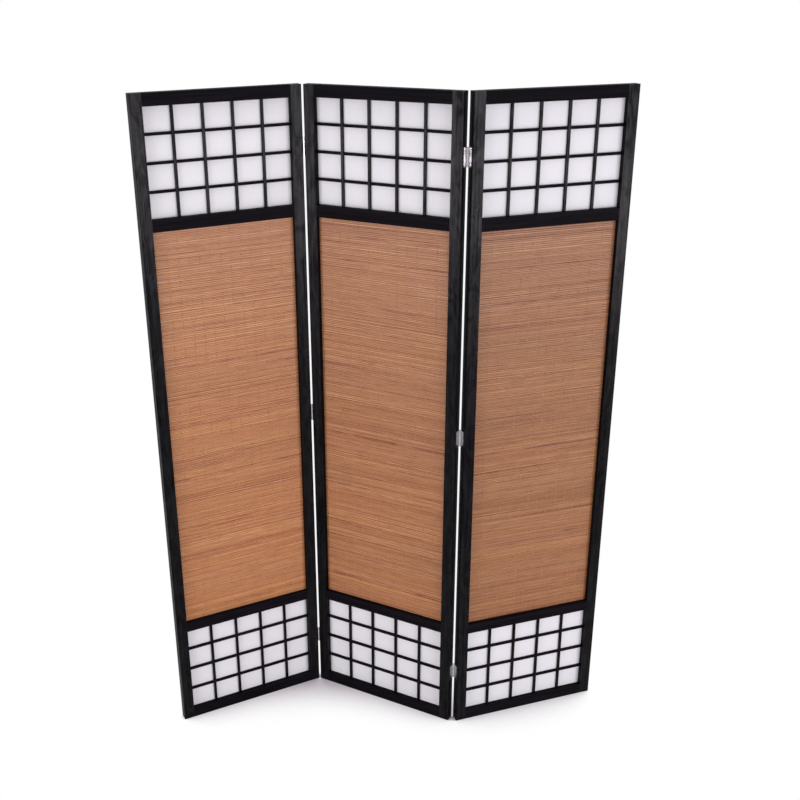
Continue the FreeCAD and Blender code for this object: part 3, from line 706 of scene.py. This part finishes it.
def model_stitches(settings, length, depth):
    """One row of stitches of unit height: a strand over the splint's face and one behind it."""
    radius = settings.thread_radius
    half = depth / 2
    nothing_selected()
    bpy.ops.mesh.primitive_circle_add(vertices=4, radius=radius, location=(0, 0, -0.5))
    stitches = bpy.context.object
    apply_place()
    bpy.ops.object.mode_set(mode="EDIT")
    bpy.ops.mesh.select_all(action="SELECT")
    bpy.ops.transform.translate(value=(-radius, -half * 0.35, 0))
    # Out to the splint's face, up along it, and back between two splints.
    out, along, back = (0.6, -0.65, 0.25), (0.8, 0, 0.5), (0.6, 0.65, 0.25)
    for aside, forward, up in (out, along, back):
        step = (radius * aside, half * forward, up)
        bpy.ops.mesh.extrude_region_move(TRANSFORM_OT_translate={"value": step})
    bpy.ops.mesh.select_all(action="SELECT")
    bpy.ops.mesh.duplicate()
    bpy.ops.transform.resize(value=(-1, -1, 1), center_override=(0, 0, 0))
    bpy.ops.mesh.select_all(action="SELECT")
    bpy.ops.mesh.normals_make_consistent(inside=False)
    bpy.ops.object.mode_set(mode="OBJECT")
    columns = int((length - 2 * settings.first_stitch) / settings.stitch_spacing) + 1
    apply_modifier(
        stitches,
        "ARRAY",
        count=columns,
        use_relative_offset=False,
        use_constant_offset=True,
        constant_offset_displace=(settings.stitch_spacing, 0, 0),
    )
    bpy.ops.object.shade_smooth()
    return stitches


def make_threads(panel, settings, low, high, rows, opening):
    """Sews every row of a mat across the opening that shows it."""
    left, right = opening
    stitches = model_stitches(settings, right - left, settings.depth + settings.thread_radius)
    vertices = len(stitches.data.vertices)
    middle = (low + high) / 2
    start = left + settings.first_stitch - middle.x
    places = []
    for base, height, slope in rows:
        centre = Matrix.Translation((middle.x, middle.y, base + height / 2))
        shift = Matrix.Translation((start, 0, 0)) @ Matrix.Diagonal((1, 1, height, 1))
        places.append(centre @ Matrix.Rotation(slope, 4, "Y") @ shift)
    threads = copies_joined(stitches, places, f"{panel}_panel_mat_threads")
    rows_of_vertices = [index // vertices for index in range(len(threads.data.vertices))]
    count_rows_in_uv(threads.data, rows_of_vertices, low.x, middle.x, rows)
    wander(threads, settings, PANEL_SEED[panel])
    return threads


# ---------------------------------------------------------------- operators

class SCREEN_OT_timber(bpy.types.Operator):
    """Stain the stiles, rails and lattice bars black, with the grain along each piece"""

    bl_idname = "screen.timber"
    bl_label = "Stain the Timber"

    def execute(self, context):
        settings = context.scene.screen_timber
        sheens = settings.upright_sheen, settings.bar_sheen, settings.level_sheen
        for panel, turn in PANEL_TURN.items():
            upright, bar, level = (
                timber_finish(f"{panel}_{cut}_timber", settings, turn, sheen, cut != "level")
                for cut, sheen in zip(("upright", "bar", "level"), sheens)
            )
            for stile in STILES:
                dress(f"{panel}_panel_{stile}", upright)
            for rail in RAILS:
                dress(f"{panel}_panel_{rail}", level)
            dress(f"{panel}_panel_dowels", level)
            for lattice in LATTICES:
                dress(f"{panel}_panel_{lattice}_lattice_uprights", bar)
                dress(f"{panel}_panel_{lattice}_lattice_crossbars", level)
        return {"FINISHED"}


class SCREEN_OT_paper(bpy.types.Operator):
    """Give the papers behind the lattices their fibres"""

    bl_idname = "screen.paper"
    bl_label = "Finish the Papers"

    def execute(self, context):
        settings = context.scene.screen_paper
        for panel, turn in PANEL_TURN.items():
            paper = paper_finish(f"{panel}_paper", settings, turn)
            for lattice in LATTICES:
                dress(f"{panel}_panel_{lattice}_paper", paper)
        return {"FINISHED"}


class SCREEN_OT_mats(bpy.types.Operator):
    """Lay and sew the bamboo splints of each mat"""

    bl_idname = "screen.mats"
    bl_label = "Make the Mats"

    def execute(self, context):
        settings = context.scene.screen_mat
        thread = thread_finish("sewing_thread", settings)
        for panel in PANEL_TURN:
            seed = PANEL_SEED[panel]
            rng = random.Random(seed)
            node = f"{panel}_panel_bamboo_mat"
            low, high = panel_box(node, panel)
            rows = splint_rows(settings, low.z, high.z, rng)
            splints = make_splints(panel, settings, low, high, rows, rng)
            bamboo = bamboo_finish(f"{panel}_bamboo", settings, seed, MAT_TONE[panel], len(rows))
            stand_in_panel(splints, panel, bamboo)
            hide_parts(node)
            left = panel_box(f"{panel}_panel_left_stile", panel)[0].x + STILE_WIDTH
            right = panel_box(f"{panel}_panel_right_stile", panel)[1].x - STILE_WIDTH
            threads = make_threads(panel, settings, low, high, rows, (left, right))
            stand_in_panel(threads, panel, thread)
        return {"FINISHED"}


class SCREEN_OT_hinges(bpy.types.Operator):
    """Plate the hinge leaves, pins and screws"""

    bl_idname = "screen.hinges"
    bl_label = "Finish the Hinges"

    def execute(self, context):
        settings = context.scene.screen_hinge
        tarnish = settings.tarnish
        leaf = steel_finish("leaf_steel", settings.leaf, tarnish, settings.leaf_roughness)
        screw = steel_finish("screw_steel", settings.screw, tarnish, settings.screw_roughness)
        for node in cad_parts:
            if node.endswith("_leaf"):
                dress(node, leaf)
            if node.endswith(("_pins", "_screws")):
                dress(node, screw)
        return {"FINISHED"}


class SCREEN_OT_stage(bpy.types.Operator):
    """Lay the floor, light the screen and place the camera"""

    bl_idname = "screen.stage"
    bl_label = "Set the Stage"

    def execute(self, context):
        settings = context.scene.screen_stage
        self.lay_floor(settings)
        self.light_world(context.scene, settings)
        for side in ("left", "right"):
            box = self.hang_box(side, settings.box_radiance)
            box.data.color = settings.lamp_tint[:3]
        self.hang_box("top", settings.top_radiance)
        self.place_camera(context.scene)
        context.scene.view_settings.view_transform = "Standard"
        return {"FINISHED"}

    def lay_floor(self, settings):
        """A pale floor that the camera sees as plain white, except where the screen shades it."""
        nothing_selected()
        bpy.ops.mesh.primitive_plane_add(size=FLOOR_SIZE, location=(0, 0, -FLOOR_DROP))
        floor = bpy.context.object
        floor.name = "floor"
        finish = new_finish("floor")
        openness = finish.node(
            "ShaderNodeAmbientOcclusion",
            {"samples": 16},
            {"Distance": settings.shadow_reach},
            output="AO",
        )
        shaded = finish.node(
            "ShaderNodeBsdfPrincipled",
            None,
            {"Base Color": tuple(settings.floor), "Roughness": 0.9, "Specular IOR Level": 0.0},
        )
        white = finish.node("ShaderNodeEmission", None, {"Color": WHITE, "Strength": 1.0})
        share = finish.seen_plainly() * openness.over(0.55, 0.2)
        surface = finish.node("ShaderNodeMixShader", None, {0: share, 1: shaded, 2: white})
        finish.node("ShaderNodeOutputMaterial", None, {"Surface": surface})
        floor.data.materials.append(finish.owner)

    def light_world(self, scene, settings):
        """Plain light from all round, which the camera sees as white."""
        scene.world = bpy.data.worlds.new("studio")
        finish = Finish(scene.world)
        strength = finish.node(
            "ShaderNodeMapRange",
            None,
            {"Value": finish.seen_plainly(), "To Min": settings.ambient, "To Max": 1.0},
        )
        background = finish.node(
            "ShaderNodeBackground", None, {"Color": WHITE, "Strength": strength}
        )
        finish.node("ShaderNodeOutputWorld", None, {"Surface": background})

    def hang_box(self, side, radiance):
        """A soft box of this brightness, turned to the point that it lights."""
        spot, aim, size = SOFT_BOXES[side]
        nothing_selected()
        bpy.ops.object.light_add(type="AREA", location=spot)
        box = bpy.context.object
        box.name = f"{side}_soft_box"
        box.data.shape = "RECTANGLE"
        box.data.size, box.data.size_y = size
        box.data.energy = radiance * math.pi * size[0] * size[1]
        box.rotation_euler = (Vector(aim) - Vector(spot)).to_track_quat("-Z", "Y").to_euler()
        return box

    def place_camera(self, scene):
        nothing_selected()
        bpy.ops.object.camera_add()
        camera = bpy.context.object
        camera.name = "camera"
        turn = Matrix.Rotation(math.radians(CAMERA_TURN), 4, "Z")
        tilt = Matrix.Rotation(math.radians(90 + CAMERA_TILT), 4, "X")
        roll = Matrix.Rotation(math.radians(CAMERA_ROLL), 4, "Z")
        camera.matrix_world = Matrix.Translation(CAMERA_SPOT) @ turn @ tilt @ roll
        across, down = PICTURE_CENTRE
        camera.data.sensor_width = SENSOR_WIDTH
        camera.data.lens = SENSOR_WIDTH * FOCAL_LENGTH / PICTURE_SIZE
        camera.data.shift_x = (PICTURE_SIZE / 2 - across) / PICTURE_SIZE
        camera.data.shift_y = (down - PICTURE_SIZE / 2) / PICTURE_SIZE
        camera.data.clip_start = NEAREST
        camera.data.clip_end = FARTHEST
        scene.camera = camera


class SCREEN_PT_panel(bpy.types.Panel):
    """The screen's pieces and their settings"""

    bl_idname = "SCREEN_PT_panel"
    bl_label = "Folding Screen"
    bl_space_type = "VIEW_3D"
    bl_region_type = "UI"
    bl_category = "Folding Screen"

    def draw(self, context):
        for operator, settings in (
            (SCREEN_OT_timber, "screen_timber"),
            (SCREEN_OT_paper, "screen_paper"),
            (SCREEN_OT_mats, "screen_mat"),
            (SCREEN_OT_hinges, "screen_hinge"),
            (SCREEN_OT_stage, "screen_stage"),
        ):
            box = self.layout.box()
            group = getattr(context.scene, settings)
            for name in SETTINGS[settings].__annotations__:
                box.prop(group, name)
            box.operator(operator.bl_idname)


CLASSES = (
    *SETTINGS.values(),
    SCREEN_OT_timber,
    SCREEN_OT_paper,
    SCREEN_OT_mats,
    SCREEN_OT_hinges,
    SCREEN_OT_stage,
    SCREEN_PT_panel,
)


def register():
    for cls in CLASSES:
        bpy.utils.register_class(cls)
    for name, group in SETTINGS.items():
        setattr(bpy.types.Scene, name, bpy.props.PointerProperty(type=group))


def unregister():
    for name in SETTINGS:
        delattr(bpy.types.Scene, name)
    for cls in reversed(CLASSES):
        bpy.utils.unregister_class(cls)


def main():
    register()
    bpy.ops.screen.timber()
    bpy.ops.screen.paper()
    bpy.ops.screen.mats()
    bpy.ops.screen.hinges()
    bpy.ops.screen.stage()


if __name__ == "__main__":
    main()
